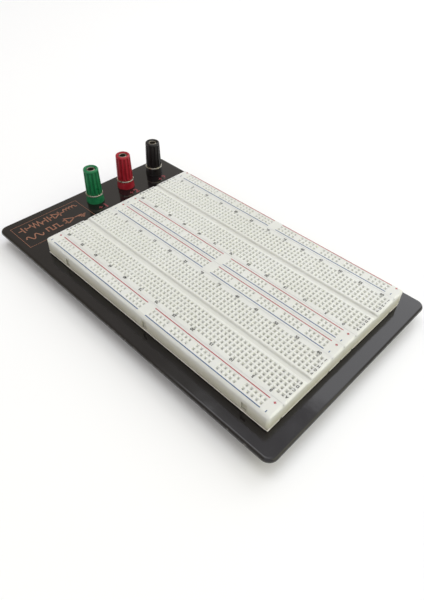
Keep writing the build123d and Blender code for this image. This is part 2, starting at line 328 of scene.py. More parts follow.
def metal_finish(name, colour, dull, roughness, grain=None):
    """Plated metal with fine lathe marks or rolling grain and patches gone dull."""
    finish = Finish(name, colour, roughness, metallic=1.0)
    patch = finish.ramp(finish.noise(600, 5), 0.45, 0.75)
    finish.colour(finish.blend(patch, colour, dull))
    finish.roughness(finish.ramp(finish.noise(900, 4), 0.3, 0.7, roughness * 0.75, roughness * 1.35))
    finish.bump(finish.noise(2500, 3, grain), 0.00002, 0.35)
    return finish.material


def soft_finish(name, colour, light, scale, depth):
    """Matt rubber or foam with pores and a dusty bloom."""
    finish = Finish(name, colour, 0.8)
    bloom = finish.ramp(finish.noise(scale / 6, 5), 0.4, 0.8)
    finish.colour(finish.blend(bloom, colour, light))
    finish.roughness(finish.ramp(finish.noise(scale / 2, 4), 0.3, 0.7, 0.7, 0.95))
    finish.bump(finish.noise(scale, 3), depth, 0.6)
    return finish.material


def ink_finish(name, colour, faded):
    """Screen-printed ink, a little uneven and worn."""
    finish = Finish(name, colour, 0.5)
    patch = finish.ramp(finish.noise(900, 5), 0.45, 0.72)
    finish.colour(finish.blend(patch, colour, faded))
    finish.roughness(finish.ramp(finish.noise(1500, 3), 0.3, 0.7, 0.42, 0.6))
    finish.bump(finish.noise(5000, 2), 0.00001, 0.3)
    return finish.material


strip_abs = strip_finish()
plate_enamel = plate_finish("base_plate")
plastics = {
    "green": cap_finish("green", (0.009, 0.155, 0.056), (0.022, 0.23, 0.095)),
    "red": cap_finish("red", (0.31, 0.009, 0.02), (0.41, 0.026, 0.04)),
    "black": cap_finish("black", (0.0105, 0.009, 0.0095), (0.019, 0.0175, 0.018)),
}
turned_metal = metal_finish("plated_brass", (0.70, 0.66, 0.56), (0.52, 0.47, 0.37), 0.26)
stud_metal = metal_finish("stud_brass", (0.40, 0.37, 0.31), (0.26, 0.235, 0.19), 0.34)
steel = metal_finish("hardware_steel", (0.62, 0.62, 0.60), (0.42, 0.41, 0.38), 0.32)
clip_metal = metal_finish("clip_metal", (0.60, 0.58, 0.52), (0.42, 0.38, 0.30), 0.3, (1, 1, 8))
rubber = soft_finish("foot_rubber", (0.018, 0.018, 0.018), (0.05, 0.048, 0.045), 1800, 0.00008)
foam = soft_finish("adhesive_foam", (0.50, 0.475, 0.40), (0.42, 0.39, 0.32), 3200, 0.0001)
liner_paper = soft_finish("liner_paper", (0.90, 0.87, 0.82), (0.82, 0.78, 0.72), 5200, 0.00002)
blue_ink = ink_finish("blue_ink", (0.036, 0.086, 0.2), (0.06, 0.125, 0.30))
red_ink = ink_finish("red_ink", (0.36, 0.028, 0.045), (0.44, 0.06, 0.07))
black_ink = ink_finish("black_ink", (0.045, 0.047, 0.04), (0.11, 0.112, 0.10))
copper_ink = ink_finish("copper_ink", (0.27, 0.115, 0.07), (0.24, 0.095, 0.058))
mark_ink = ink_finish("mark_ink", (0.26, 0.045, 0.055), (0.18, 0.04, 0.045))

# ---------------- moulded strips
TERMINAL_HOLE = (0.86 * MM, 1.82 * MM)
RAIL_HOLE = (0.7 * MM, 1.7 * MM)
MOUTH_DEPTH = 0.6 * MM
SKIN = 2.0 * MM
PAD_MARGIN = 0.3 * MM
GROOVE_DEPTH = 1.2 * MM
GROOVE_HALF = 1.525 * MM
ROUNDING = 1.5 * MM
END_WEIGHT = 0.7
GROOVE_WEIGHT = 0.4
NEIGHBOUR_WEIGHT = 0.07
POCKET = 1.9 * MM
POCKET_SLACK = 2.4 * MM
INNER_ROW = 1.5 * PITCH
RAIL_START = 1.5 * PITCH
RAIL_MIDDLE = 15.5 * PITCH
RAIL_HOLES = [
    side * (RAIL_START + (6 * group + hole) * PITCH)
    for side in (-1, 1)
    for group in range(5)
    for hole in range(5)
]
RAIL_ROW = PITCH / 2
TAB_SPACING = 65.8 * MM
TAB_SHIFT = 3.1 * MM
TAB_ROOT = 3.0 * MM
TAB_TIP = 4.0 * MM
TAB_REACH = 1.0 * MM
TAB_HEIGHT = 4.9 * MM
TAB_GAP = 0.1 * MM
BOARD_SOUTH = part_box("bus_strip_1")[0].y
BOARD_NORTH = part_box("foam_pad_bus_strip_4")[1].y


def grid_lines(low, high, spans):
    """Sorted values of a grid line at both ends and at each side of every span."""
    values = {round(low, 8), round(high, 8)}
    for centre, size in spans:
        values.update((round(centre - size / 2, 8), round(centre + size / 2, 8)))
    return sorted(values)


def near(columns, x):
    """Windows of the column that a value falls in."""
    for centre, places in columns.items():
        if abs(centre - x) < PITCH / 2:
            return places
    return []


def windowed_sheet(shell, xs, ys, windows, z, upward):
    """Level grid of quads between the lines, left open where a window's centre falls."""
    columns = {}
    for x, y in windows:
        columns.setdefault(x, []).append((x, y))
    for x0, x1 in zip(xs, xs[1:]):
        for y0, y1 in zip(ys, ys[1:]):
            if any(x0 < x < x1 and y0 < y < y1 for x, y in near(columns, (x0 + x1) / 2)):
                continue
            corners = [(x0, y0, z), (x1, y0, z), (x1, y1, z), (x0, y1, z)]
            shell.face(corners if upward else corners[::-1])


class Strip(Shell):
    """One strip: holes with chamfered mouths through a skin, open pockets below, rounded edges."""

    def __init__(self, node, hole_xs, hole_ys, pockets, grooved):
        super().__init__()
        low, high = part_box(node)
        pad_low, pad_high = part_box("foam_pad_" + node)
        middle, half_width = (pad_high.y + pad_low.y) / 2, (pad_high.y - pad_low.y) / 2 + PAD_MARGIN
        self.centre_x = (low.x + high.x) / 2
        self.west, self.east = low.x, high.x
        self.south, self.north = middle - half_width, middle + half_width
        self.bottom, self.ceiling, self.top = low.z, high.z - SKIN, high.z
        self.groove = [middle - GROOVE_HALF, middle + GROOVE_HALF] if grooved else []
        self.hole, self.mouth = TERMINAL_HOLE if grooved else RAIL_HOLE
        self.hole_xs = sorted(self.centre_x + x for x in hole_xs)
        self.hole_ys = sorted(middle + y for y in hole_ys)
        self.pockets = [(self.centre_x + x, middle + y, *size) for x, y, *size in pockets]
        self.tab_xs = [self.centre_x + TAB_SHIFT + index * TAB_SPACING for index in (-1, 0, 1)]

    def edge_weight(self, y):
        """Full rounding on the board's outer sides, some at a groove, little at a neighbour."""
        if y < BOARD_SOUTH + 1 * MM or y > BOARD_NORTH - 1 * MM:
            return 1.0
        return NEIGHBOUR_WEIGHT if y in (self.south, self.north) else GROOVE_WEIGHT

    def cover(self):
        """Top, in two plateaus where a groove parts it, open at the mouths of the holes."""
        edges = [self.south, *self.groove, self.north]
        self.xs = grid_lines(self.west, self.east, [(x, self.mouth) for x in self.hole_xs])
        self.plateaus = []
        for start, end in zip(edges[::2], edges[1::2]):
            rows = [y for y in self.hole_ys if start < y < end]
            ys = grid_lines(start, end, [(y, self.mouth) for y in rows])
            self.plateaus.append(ys)
            mouths = [(x, y) for x in self.hole_xs for y in rows]
            windowed_sheet(self, self.xs, ys, mouths, self.top, True)
            for y in (start, end):
                self.round_line([(x, y, self.top) for x in self.xs], self.edge_weight(y))
            for x in (self.west, self.east):
                self.round_line([(x, y, self.top) for y in ys], END_WEIGHT)

    def hole_walls(self):
        """Sides of the holes, from the chamfered mouth to the ceiling of the pocket."""
        for x in self.hole_xs:
            for y in self.hole_ys:
                neck = square(x, y, self.hole, self.top - MOUTH_DEPTH)
                band(self, square(x, y, self.mouth, self.top), neck, False)
                band(self, neck, square(x, y, self.hole, self.ceiling), False)

    def pocket_grid(self, x, y, length, width):
        """Grid lines of a pocket's ceiling along X and along Y, and the holes that open into it."""
        x0, x1, y0, y1 = x - length / 2, x + length / 2, y - width / 2, y + width / 2
        xs = [hole_x for hole_x in self.hole_xs if x0 < hole_x < x1]
        ys = [hole_y for hole_y in self.hole_ys if y0 < hole_y < y1]
        across = grid_lines(x0, x1, [(hole_x, self.hole) for hole_x in xs])
        along = grid_lines(y0, y1, [(hole_y, self.hole) for hole_y in ys])
        return across, along, [(hole_x, hole_y) for hole_x in xs for hole_y in ys]

    def pocket_walls(self):
        """Pockets, each with its own ceiling around the holes that open into it."""
        for pocket in self.pockets:
            across, along, holes = self.pocket_grid(*pocket)
            windowed_sheet(self, across, along, holes, self.ceiling, False)
            loop = [(x, along[0]) for x in across[:-1]]
            loop += [(across[-1], y) for y in along[:-1]]
            loop += [(x, along[-1]) for x in across[:0:-1]]
            loop += [(across[0], y) for y in along[:0:-1]]
            for a, b in zip(loop, loop[1:] + loop[:1]):
                self.face([(*b, self.ceiling), (*a, self.ceiling), (*a, self.bottom), (*b, self.bottom)])

    def socket_plan(self, x):
        """Outline of one dovetail socket in the front edge, from -X to +X."""
        root, tip, back = TAB_ROOT / 2 + TAB_GAP, TAB_TIP / 2 + TAB_GAP, self.south + TAB_REACH + TAB_GAP
        return [(x - root, self.south), (x - tip, back), (x + tip, back), (x + root, self.south)]

    def underside(self):
        """Underside, open at the pockets, with the sockets cut into its front edge."""
        xs = {round(self.west, 8), round(self.east, 8)}
        ys = {round(self.south, 8), round(self.north, 8)}
        for pocket in self.pockets:
            across, along, _ = self.pocket_grid(*pocket)
            xs.update(across)
            ys.update(along)
        self.base_xs, self.base_ys = sorted(xs), sorted(ys)
        front = [(self.east, self.south)]
        for x in reversed(self.tab_xs):
            front += self.socket_plan(x)[::-1]
        front.append((self.west, self.south))
        margin = [(x, self.base_ys[1]) for x in self.base_xs] + front
        self.face([(x, y, self.bottom) for x, y in margin])
        for x0, x1 in zip(self.base_xs, self.base_xs[1:]):
            for y0, y1 in zip(self.base_ys[1:], self.base_ys[2:]):
                if not self.open_above((x0 + x1) / 2, (y0 + y1) / 2):
                    self.face([(x, y, self.bottom) for x, y in ((x0, y1), (x1, y1), (x1, y0), (x0, y0))])

    def open_above(self, x, y):
        return any(abs(x - px) < length / 2 and abs(y - py) < width / 2
                   for px, py, length, width in self.pockets)

    def groove_walls(self):
        """Floor and sides of the groove."""
        first, second = self.groove
        floor = self.top - GROOVE_DEPTH
        a, b = (self.west, first, floor), (self.east, first, floor)
        c, d = (self.east, second, floor), (self.west, second, floor)
        self.face([a, b, c, d])
        self.face([(x, first, self.top) for x in self.xs] + [b, a])
        self.face([(x, second, self.top) for x in reversed(self.xs)] + [d, c])
        self.round_line([a, b], GROOVE_WEIGHT)
        self.round_line([d, c], GROOVE_WEIGHT)

    def socket_walls(self):
        """Sides and roofs of the sockets; gives the front side's lower edge over them."""
        roof = self.bottom + TAB_HEIGHT + TAB_GAP
        line = [(self.west, self.bottom)]
        for x in self.tab_xs:
            plan = self.socket_plan(x)
            for a, b in zip(plan, plan[1:]):
                self.face([(*a, self.bottom), (*b, self.bottom), (*b, roof), (*a, roof)])
            self.face([(*corner, roof) for corner in plan])
            start, end = plan[0][0], plan[-1][0]
            line += [(start, self.bottom), (start, roof), (end, roof), (end, self.bottom)]
        return line + [(self.east, self.bottom)]

    def sides(self):
        """The four outer sides, and the rounding of their upright edges."""
        profile = [(y, self.top) for y in self.plateaus[0]]
        if self.groove:
            profile += [(y, self.top - GROOVE_DEPTH) for y in self.groove]
            profile += [(y, self.top) for y in self.plateaus[1]]
        front = [(x, self.south, z) for x, z in self.socket_walls()]
        self.face(front + [(x, self.south, self.top) for x in reversed(self.xs)])
        back = [(x, self.north, self.bottom) for x in reversed(self.base_xs)]
        self.face(back + [(x, self.north, self.top) for x in self.xs])
        base = [(self.east, y, self.bottom) for y in self.base_ys]
        self.face(base + [(self.east, y, z) for y, z in reversed(profile)])
        base = [(self.west, y, self.bottom) for y in reversed(self.base_ys)]
        self.face(base + [(self.west, y, z) for y, z in profile])
        for x in (self.west, self.east):
            for y in (self.south, self.north):
                self.round_line([(x, y, self.bottom), (x, y, self.top)], self.edge_weight(y))

    def tabs(self):
        """Dovetail tabs on the back, each sunk a little into the side."""
        for x in self.tab_xs:
            root, tip = TAB_ROOT / 2, TAB_TIP / 2
            outline = [(x - root, self.north - TAB_REACH / 4), (x + root, self.north - TAB_REACH / 4)]
            outline += [(x + root, self.north), (x + tip, self.north + TAB_REACH)]
            outline += [(x - tip, self.north + TAB_REACH), (x - root, self.north)]
            prism(self, outline, self.bottom, self.bottom + TAB_HEIGHT)


def strip_piece(node, hole_xs, hole_ys, pockets, grooved):
    strip = Strip(node, hole_xs, hole_ys, pockets, grooved)
    strip.cover()
    strip.hole_walls()
    strip.pocket_walls()
    strip.underside()
    if grooved:
        strip.groove_walls()
    strip.sides()
    strip.tabs()
    piece = strip.build(node + "_moulding", strip_abs)
    bevel(piece, ROUNDING, by_weight=True)
    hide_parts(node)
    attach(piece, "base")


terminal_xs = [(column - (COLUMNS - 1) / 2) * PITCH for column in range(COLUMNS)]
terminal_ys = sorted(side * (INNER_ROW + row * PITCH) for side in (-1, 1) for row in range(ROWS))
side_length = (ROWS - 1) * PITCH + POCKET_SLACK
terminal_pockets = [
    (x, side * (INNER_ROW + 2 * PITCH), POCKET, side_length) for x in terminal_xs for side in (-1, 1)
]
rail_length = RAIL_HOLES[-1] - RAIL_START + POCKET_SLACK
bus_pockets = [
    (side * RAIL_MIDDLE, row, rail_length, POCKET) for side in (-1, 1) for row in (-RAIL_ROW, RAIL_ROW)
]
for node in TERMINALS:
    strip_piece(node, terminal_xs, terminal_ys, terminal_pockets, True)
for node in BUSES:
    strip_piece(node, RAIL_HOLES, (-RAIL_ROW, RAIL_ROW), bus_pockets, False)

# ---------------- printing on the strips
INK_SUNK = 0.01 * MM
INK_PROUD = 0.02 * MM
LINE_WIDTH = 0.48 * MM
LINE_OFFSET = 3.3 * MM
LINE_START = 1.1 * PITCH
LINE_END = 29.95 * PITCH
SIGN_OFFSET = 2.9 * MM
SIGN_X = 31.1 * PITCH
SIGN_SIZE = 1.35 * MM
SIGN_STROKE = 0.42 * MM
NUMBER_HEIGHT = 1.6 * MM
LETTER_HEIGHT = 1.35 * MM
NUMBER_OFFSET = INNER_ROW + (ROWS - 1) * PITCH + 1.9 * MM
NUMBER_MIDDLE = 30.05
FIRST_NUMBER_X = -29.06 * PITCH
LETTER_X = 31.77 * PITCH
CAP_HEIGHT = 0.73
GLYPH_WEIGHT = 0.05


def glyphs(text, height):
    """Vertices and faces of a word, centred on the origin and as thick as the ink."""
    curve = bpy.data.curves.new("word", "FONT")
    curve.body = text
    curve.size = height / CAP_HEIGHT
    curve.align_x = "CENTER"
    curve.extrude = (INK_SUNK + INK_PROUD) / 2
    curve.offset = height * GLYPH_WEIGHT
    word = bpy.data.objects.new("word", curve)
    bpy.context.scene.collection.objects.link(word)
    bpy.context.view_layer.update()
    mesh = bpy.data.meshes.new_from_object(word.evaluated_get(bpy.context.evaluated_depsgraph_get()))
    lift = (INK_PROUD - INK_SUNK) / 2
    points = [(v.co.x, v.co.y - height / 2, v.co.z + lift) for v in mesh.vertices]
    faces = [tuple(polygon.vertices) for polygon in mesh.polygons]
    bpy.data.objects.remove(word)
    bpy.data.curves.remove(curve)
    bpy.data.meshes.remove(mesh)
    return points, faces


class Print:
    """Ink on a level surface, gathered into one thin mesh."""

    def __init__(self, surface):
        self.surface = surface
        self.points = []
        self.faces = []

    def add(self, points, faces, x, y, turned=0.0):
        base = len(self.points)
        cosine, sine = math.cos(turned), math.sin(turned)
        for px, py, pz in points:
            self.points.append((x + px * cosine - py * sine, y + px * sine + py * cosine, self.surface + pz))
        self.faces += [tuple(base + index for index in face) for face in faces]

    def word(self, text, height, x, y, turned=0.0):
        self.add(*glyphs(text, height), x, y, turned)

    def outline(self, corners, x=0.0, y=0.0):
        """A filled shape over an anticlockwise outline."""
        shell = Shell()
        prism(shell, corners, -INK_SUNK, INK_PROUD)
        self.add(shell.points, shell.faces, x, y)

    def bar(self, x0, y0, x1, y1):
        self.outline([(x0, y0), (x1, y0), (x1, y1), (x0, y1)])

    def stroke(self, points, width, x, y, turned):
        """A line of even width through the points, with mitred corners."""
        line = [Vector(point) for point in points]
        left, right = [], []
        for index, here in enumerate(line):
            ahead = (line[min(index + 1, len(line) - 1)] - here).normalized()
            behind = (here - line[max(index - 1, 0)]).normalized()
            along = (ahead + behind).normalized()
            normal = Vector((-along.y, along.x))
            leg = ahead if ahead.length else behind
            reach = width / 2 / max(0.35, abs(normal.dot(Vector((-leg.y, leg.x)))))
            left.append(here + normal * reach)
            right.append(here - normal * reach)
        shell = Shell()
        for quad in zip(right, right[1:], left[1:], left):
            shell.face([(*corner, INK_PROUD) for corner in quad])
            shell.face([(*corner, -INK_SUNK) for corner in quad[::-1]])
        rim = right + left[::-1]
        band(shell, [(*corner, INK_PROUD) for corner in rim], [(*corner, -INK_SUNK) for corner in rim], True)
        self.add(shell.points, shell.faces, x, y, turned)

    def build(self, name, material):
        mesh = bpy.data.meshes.new(name)
        mesh.from_pydata(self.points, [], self.faces)
        mesh.validate()
        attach(place(name, mesh, material), "base")


def strip_centre(node):
    low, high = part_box("foam_pad_" + node)
    return (low.x + high.x) / 2, (low.y + high.y) / 2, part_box(node)[1].z


for node in BUSES:
    x, y, top = strip_centre(node)
    blue, red = Print(top), Print(top)
    for side in (-1, 1):
        first, last = sorted((side * LINE_START, side * LINE_END))
        for ink, offset in ((blue, -LINE_OFFSET), (red, LINE_OFFSET)):
            line_y = y + offset
            ink.bar(x + first, line_y - LINE_WIDTH / 2, x + last, line_y + LINE_WIDTH / 2)
        sign_x = x + side * SIGN_X
        half, thin = SIGN_SIZE / 2, SIGN_STROKE / 2
        blue.bar(sign_x - thin, y - SIGN_OFFSET - half, sign_x + thin, y - SIGN_OFFSET + half)
        plus = [(-half, -thin), (-thin, -thin), (-thin, -half), (thin, -half), (thin, -thin), (half, -thin)]
        plus += [(-px, -py) for px, py in plus]
        red.outline(plus, sign_x, y + SIGN_OFFSET)
    blue.build(node + "_blue_print", blue_ink)
    red.build(node + "_red_print", red_ink)

for node in TERMINALS:
    x, y, top = strip_centre(node)
    black = Print(top)
    for side, turned in ((-1, math.pi), (1, 0.0)):
        for number in range(0, 61, 5):
            along = (number - NUMBER_MIDDLE) * PITCH if number else FIRST_NUMBER_X
            black.word(str(number), NUMBER_HEIGHT, x + side * along, y + side * NUMBER_OFFSET, turned)
    for index, letter in enumerate("ABCDEFGHIJ"):
        for end in (-1, 1):
            black.word(letter, LETTER_HEIGHT, x + end * LETTER_X, y + terminal_ys[index], math.pi)
    black.build(node + "_print", black_ink)

# ---------------- printing on the plate
PANEL = (-102.0 * MM, -78.5 * MM, -60.2 * MM, -13.3 * MM)
PANEL_LINE = 0.26 * MM
SYMBOL_STROKE = 0.8 * MM
SYMBOL_START = 2.4 * MM
FAR_ROW_X = -96.2 * MM
NEAR_ROW_X = -86.4 * MM
MARK_X = -84.0 * MM
MARK_STROKE = 0.66 * MM
MARK_HEIGHT = 4.4 * MM


def wave(start, length, height, turns, steps=12):
    """Sine wave along a row."""
    count = turns * steps
    return [
        (start + length * step / count, height * math.sin(2 * math.pi * turns * step / count))
        for step in range(count + 1)
    ]


def far_row():
    """Strokes of a circuit in series: cell, resistor, capacitor, diode and coil."""
    teeth = [(8.7 + 1.3 * index, 2.5 if index % 2 == 0 else -2.5) for index in range(6)]
    coil = []
    for hump in range(4):
        middle = 33.1 + 2.2 * hump
        coil += [(middle + 1.1 * math.cos(a), 2.4 * math.sin(a)) for a in (3.1, 2.4, 1.57, 0.75, 0.05)]
    cell = [[(0, 0), (3, 0)], [(3, -3.1), (3, 3.1)], [(4.9, -1.7), (4.9, 1.7)], [(4.9, 0), (8, 0)]]
    resistor = [[(8, 0), *teeth, (16.2, 0), (19, 0)]]
    capacitor = [[(19, -2.9), (19, 2.9)], [(20.9, -2.9), (20.9, 2.9)], [(20.9, 0), (24, 0)]]
    diode = [[(24, -2.7), (24, 2.7), (28.4, 0), (24, -2.7)], [(28.6, -2.7), (28.6, 2.7)]]
    return cell + resistor + capacitor + diode + [[(28.6, 0), (32, 0), *coil, (42, 0)]]


def near_row():
    """Strokes of a sine wave, a square wave, an amplifier and an earth sign."""
    square_wave = [(14 + 2.5 * (step // 2), -2 if step % 4 in (0, 3) else 2) for step in range(9)]
    amplifier = [[(27.5, -3), (27.5, 3), (33, 0), (27.5, -3)]]
    inputs = [[(25.6, height), (27.5, height)] for height in (1.5, -1.5)]
    earth = [[(33, 0), (38.5, 0), (38.5, -0.8)]]
    for height, half in ((-0.8, 2.6), (-2, 1.6), (-3.1, 0.7)):
        earth.append([(38.5 - half, height), (38.5 + half, height)])
    return [wave(0, 11, 2.2, 2), square_wave] + amplifier + inputs + earth


plate_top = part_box("base_plate")[1].z
copper = Print(plate_top)
west, east, south, north = PANEL
for x0, y0, x1, y1 in (
    (west, south, east, south + PANEL_LINE),
    (west, north - PANEL_LINE, east, north),
    (west, south + PANEL_LINE, west + PANEL_LINE, north - PANEL_LINE),
    (east - PANEL_LINE, south + PANEL_LINE, east, north - PANEL_LINE),
):
    copper.bar(x0, y0, x1, y1)
for row_x, strokes in ((FAR_ROW_X, far_row()), (NEAR_ROW_X, near_row())):
    for points in strokes:
        scaled = [(u * MM, v * MM) for u, v in points]
        copper.stroke(scaled, SYMBOL_STROKE, row_x, south + SYMBOL_START, math.pi / 2)
copper.build("plate_panel_print", copper_ink)

for number, colour in enumerate(COLOURS, 1):
    low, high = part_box(colour + "_post_collar")
    post_y = (low.y + high.y) / 2
    marks = Print(plate_top)
    for points in ([(-4.1, 0), (-1.5, 0)], [(-2.8, -1.3), (-2.8, 1.3)]):
        scaled = [(u * MM, v * MM) for u, v in points]
        marks.stroke(scaled, MARK_STROKE, MARK_X, post_y, math.pi / 2)
    marks.word(str(number), MARK_HEIGHT, MARK_X, post_y + 1.1 * MM, math.pi / 2)
    marks.build(colour + "_post_mark", mark_ink)

# ---------------- foam pads and feet
FOAM_STEP = 1.6 * MM
LINER = 0.34 * MM
LINER_REACH = 0.24 * MM
FOOT_TIP_RADIUS = 5.8 * MM
FOOT_EDGE = 0.8 * MM


def soft_noise(x, y, z, scale):
    return noise.noise(Vector((x, y, z)) * scale)


def rim_points(low, high, step):
    """Points round a box's sides, anticlockwise, each with the direction of the inside."""
    corners = [(low.x, low.y), (high.x, low.y), (high.x, high.y), (low.x, high.y)]
    points = []
    for a, b, inward in zip(corners, corners[1:] + corners[:1], ((0, 1), (-1, 0), (0, -1), (1, 0))):
        count = round(math.dist(a, b) / step)
        shares = [index / count for index in range(count)]
        points += [(a[0] + (b[0] - a[0]) * t, a[1] + (b[1] - a[1]) * t, *inward) for t in shares]
    return points


def foam_slab(node):
    """Double-sided foam tape whose cut sides wander a little and bulge between the two skins."""
    low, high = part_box(node)
    rim = rim_points(low, high, FOAM_STEP)
    layers = []
    for level, tuck in ((0.0, 0.10), (0.12, 0.02), (0.5, 0.0), (0.88, 0.02), (1.0, 0.10)):
        z = low.z + (high.z - low.z) * level
        layer = []
        for x, y, inward_x, inward_y in rim:
            wander = 0.09 * (1 + soft_noise(x, y, z * 0.3, 260)) + 0.05 * (1 + soft_noise(x, y, z, 1400))
            depth = (tuck + wander) * MM
            px = min(max(x + inward_x * depth, low.x + depth), high.x - depth)
            py = min(max(y + inward_y * depth, low.y + depth), high.y - depth)
            layer.append((px, py, z))
        layers.append(layer)
    shell = Shell()
    tube(shell, layers)
    piece = shell.build(node + "_tape", foam, 60)
    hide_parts(node)
    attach(piece, "base")

    # Edge of the paper liner that was left between the tape and the plate
    sheet = []
    for x, y, inward_x, inward_y in rim:
        reach = LINER_REACH + 0.05 * MM * soft_noise(x, y, 0.0, 500)
        sheet.append((x - inward_x * reach, y - inward_y * reach))
    liner = Shell()
    prism(liner, sheet, low.z, low.z + LINER)
    edge = liner.build(node + "_liner", liner_paper, 60)
    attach(edge, "base")


def arc(centre, radius, start, end, steps):
    """Points of (radius, height) on an arc, from one angle to another in degrees."""
    turns = [math.radians(start + (end - start) * step / steps) for step in range(steps + 1)]
    return [(centre[0] + radius * math.cos(turn), centre[1] + radius * math.sin(turn)) for turn in turns]


def rubber_foot(node):
    """Tapered rubber foot with a rounded tread, a moulding ring and a shallow dished centre."""
    low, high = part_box(node)
    centre = ((low.x + high.x) / 2, (low.y + high.y) / 2, low.z)
    height, top_radius = high.z - low.z, (high.x - low.x) / 2
    flare, rise = top_radius - FOOT_TIP_RADIUS, height - FOOT_EDGE
    outline = [(0.0, 0.35 * MM), (2.2 * MM, 0.35 * MM)] + arc((2.8 * MM, 0.2 * MM), 0.2 * MM, 135, 270, 4)
    outline += arc((FOOT_TIP_RADIUS - FOOT_EDGE, FOOT_EDGE), FOOT_EDGE, -90, 0, 6)
    outline += [(FOOT_TIP_RADIUS + flare * share, FOOT_EDGE + rise * share) for share in (0.3, 0.6)]
    ring_radius, ring_z = FOOT_TIP_RADIUS + flare * 0.8, FOOT_EDGE + rise * 0.8
    outline += [(ring_radius - 0.02 * MM, ring_z - 0.4 * MM), (ring_radius - 0.22 * MM, ring_z)]
    outline += [(ring_radius + 0.02 * MM, ring_z + 0.3 * MM), (top_radius, height - 0.15 * MM)]
    outline += [(top_radius - 0.15 * MM, height), (0.0, height)]
    shell = Shell()
    lathe(shell, outline, centre, 72)
    piece = shell.build(node + "_rubber", rubber, 35)
    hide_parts(node)
    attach(piece, "base")


for node in TERMINALS + BUSES:
    foam_slab("foam_pad_" + node)
for node in ("foot_front_left", "foot_front_right", "foot_back_left", "foot_back_right"):
    rubber_foot(node)

# ---------------- binding posts
FLUTES = 12
FLUTE_RADIUS = 0.75 * MM
FLUTE_DEPTH = 0.75 * MM
CROWN_RADIUS = 1.02 * MM
DISH_RADIUS = 3.7 * MM
DISH_DEPTH = 0.5 * MM
BORE = 3.05 * MM
INSERT_RADIUS = 4.0 * MM
INSERT_LENGTH = 9.0 * MM
CAP_FOOT_RADIUS = 4.5 * MM
BARREL_RADIUS = 3.0 * MM
JACK_RADIUS = 2.03 * MM
JACK_DEPTH = 12.9 * MM
SHANK_RADIUS = 2.0 * MM
THREAD = 0.75 * MM
SHANK_THREAD = 0.7 * MM
WIRE_HOLE = 1.0 * MM
WIRE_RISE = 1.9 * MM
DRILL_REACH = 4.5 * MM
STUD_SEGMENTS = 60
FLANGE_FLATS = 8.2 * MM
FLANGE_HEIGHT = 1.2 * MM


def centre_of(node):
    low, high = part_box(node)
    return Vector(((low.x + high.x) / 2, (low.y + high.y) / 2, low.z)), high.z - low.z


def soft_min(a, b, blend):
    """The lesser of two lengths, rounded where they cross."""
    share = max(0.0, min(1.0, 0.5 + (b - a) / (2 * blend)))
    return b + (a - b) * share - blend * share * (1 - share)


def cap_piece(colour):
    """Tapered grip with rounded flutes that fade out under a smooth crown."""
    node = colour + "_post_cap"
    centre, height = centre_of(node)
    taper = (CAP_WIDEST_RADIUS - CAP_TOP_RADIUS) / (height - CAP_FOOT_HEIGHT)
    flute_end = height - CROWN - FLUTE_RADIUS

    def side_radius(z):
        return CAP_WIDEST_RADIUS - taper * (z - CAP_FOOT_HEIGHT)

    def fluted(point, angle):
        radius, z = point
        if radius < INSERT_RADIUS + 0.1 * MM or z > height - 0.4 * MM:
            return radius
        step = 2 * math.pi / FLUTES
        across = ((angle + step / 2) % step - step / 2) * radius
        beyond = max(0.0, z - flute_end)
        reach = FLUTE_RADIUS ** 2 - across ** 2 - beyond ** 2
        bed = side_radius(z) + FLUTE_RADIUS - FLUTE_DEPTH
        groove = bed - math.sqrt(reach) if reach > 0 else bed
        return soft_min(radius, groove, 0.14 * MM)

    rim = (CAP_TOP_RADIUS - CROWN_RADIUS, height - CROWN_RADIUS)
    crown_start = math.degrees(math.asin(min(1.0, taper)))
    outline = [(INSERT_RADIUS, 0.0)]
    for step in range(9):
        turn = math.pi / 2 * step / 8
        spread = (CAP_WIDEST_RADIUS - CAP_FOOT_RADIUS) * math.sin(turn)
        outline.append((CAP_FOOT_RADIUS + spread, CAP_FOOT_HEIGHT * (1 - math.cos(turn))))
    rises = [flute_end * share for share in (0.12, 0.2, 0.35, 0.5, 0.65, 0.8, 0.92, 1.0)]
    rises += [flute_end + 0.08 * MM * step for step in range(1, 13)]
    outline += [(side_radius(z), z) for z in rises if z < height - CROWN_RADIUS]
    outline += [(radius, z) for radius, z in arc(rim, CROWN_RADIUS, crown_start, 90, 14)]
    dish = height - DISH_DEPTH
    outline += [(DISH_RADIUS + 0.1 * MM, height), (DISH_RADIUS, height - 0.08 * MM)]
    outline += [(DISH_RADIUS - 0.04 * MM, dish + 0.12 * MM), (DISH_RADIUS - 0.14 * MM, dish)]
    outline += [(BORE + 0.15 * MM, dish), (BORE, dish - 0.15 * MM)]
    outline += [(BORE, INSERT_LENGTH), (INSERT_RADIUS, INSERT_LENGTH)]
    shell = Shell()
    lathe(shell, outline, centre, FLUTES * 24, fluted)
    piece = shell.build(colour + "_grip", plastics[colour], 50)
    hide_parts(node)
    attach(piece, colour + "_cap")


def threaded(z, angle, crest, depth, pitch):
    """Radius of a right-hand thread at a height and angle, with flattened crests and roots."""
    phase = (z / pitch - angle / (2 * math.pi)) % 1.0
    slope = 1 - abs(2 * phase - 1)
    return crest - depth * max(0.0, min(1.0, 1.35 * slope - 0.175))


def hexagon(flats):
    """Radius at any angle of a hexagon of this size across its flats."""
    return lambda z, angle: flats / 2 / math.cos((angle + math.pi / 6) % (math.pi / 3) - math.pi / 6)


